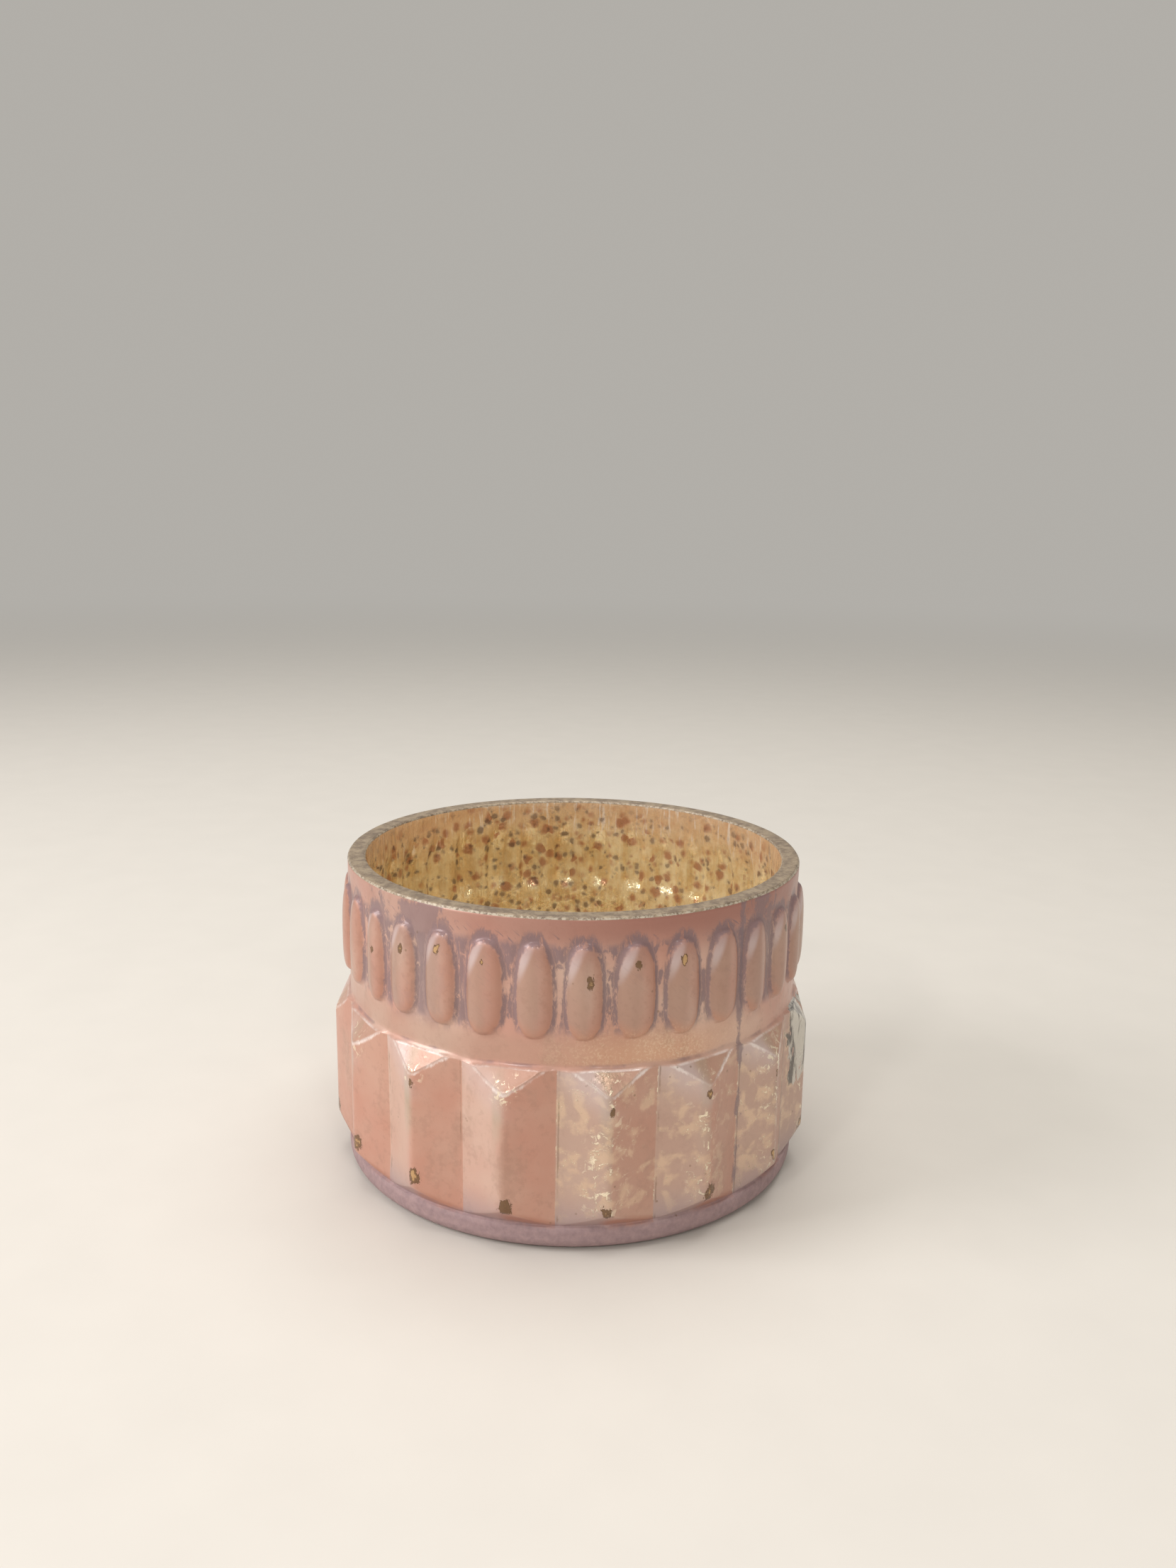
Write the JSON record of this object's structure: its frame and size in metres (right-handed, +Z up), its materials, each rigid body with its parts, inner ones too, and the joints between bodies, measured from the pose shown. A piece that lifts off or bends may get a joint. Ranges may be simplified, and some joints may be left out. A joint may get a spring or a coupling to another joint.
{
  "type": "tealight holder",
  "caption": "Round moulded glass bowl with a lobed collar and ridged panels that holds a tealight in a metal cup.",
  "frame": {"origin": "middle of the foot, on the surface that the bowl stands on", "axes": "+Z up along the bowl's axis; a valley between two panels faces -Y"},
  "size_m": [0.098, 0.098, 0.0641],
  "materials": {
    "lacquered_glass": "satin salmon-pink lacquer outside, worn to lilac-grey in the grooves; spotted gold mirror inside; ground rim",
    "cup_aluminium": "thin pressed foil, bright, finely fluted",
    "candle_wax": "paraffin wax, satin and slightly translucent",
    "wick_cotton": "braided waxed cotton",
    "clip_tin": "tinned sheet, dull"
  },
  "bodies": {
    "bowl": {"glass_bowl": "lacquered_glass"},
    "tealight": {"tealight_cup": "cup_aluminium"},
    "candle": {"wax": "candle_wax", "wick": "wick_cotton", "wick_clip": "clip_tin"}
  },
  "joints": [
    {"name": "tealight_lift", "type": "slide", "parent": "bowl", "child": "tealight", "axis": [0, 0, 1], "range_m": [0, 0.075]},
    {"name": "candle_lift", "type": "slide", "parent": "tealight", "child": "candle", "axis": [0, 0, 1], "range_m": [0, 0.025]}
  ]
}
